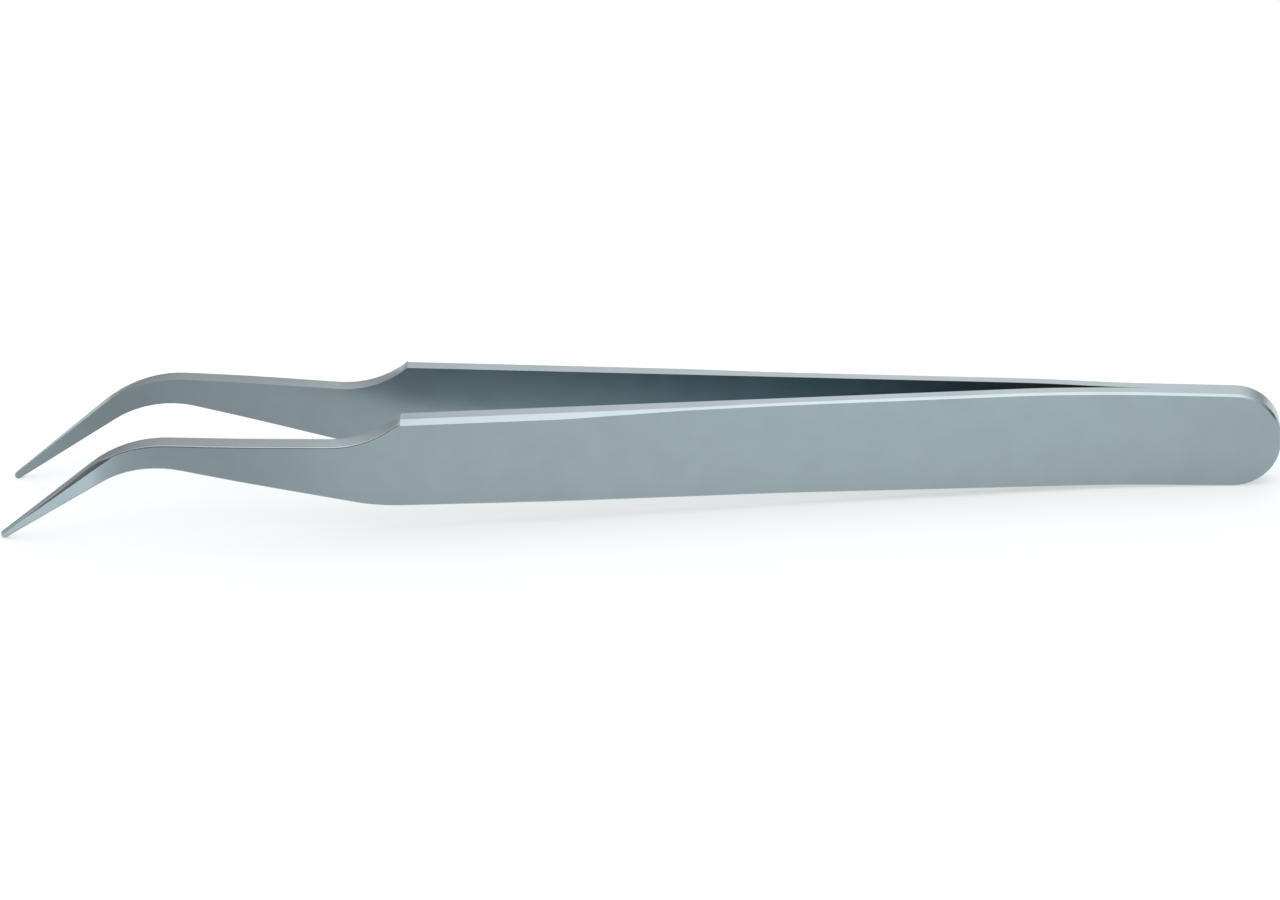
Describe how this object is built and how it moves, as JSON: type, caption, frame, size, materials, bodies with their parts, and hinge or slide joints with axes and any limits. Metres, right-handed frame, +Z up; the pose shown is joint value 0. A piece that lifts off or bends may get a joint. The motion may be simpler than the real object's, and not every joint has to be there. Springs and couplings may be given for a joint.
{
  "type": "bent precision tweezers",
  "caption": "Stainless precision tweezers with wide flat arms, a stepped neck and a fine bent tip, for handling small wafers, dies and components.",
  "frame": {"origin": "on the surface that the tweezers stand on, midway between the tail end and the tip ends and in the plane between the two arms", "axes": "+X along the tweezers from the tips to the tail, +Z up, and Y across the opening, with the right arm on the +Y side"},
  "size_m": [0.1202, 0.0154, 0.0114],
  "materials": {
    "satin_steel": "satin"
  },
  "bodies": {
    "root": {"left_arm": "satin_steel", "right_arm": "satin_steel"}
  },
  "joints": []
}
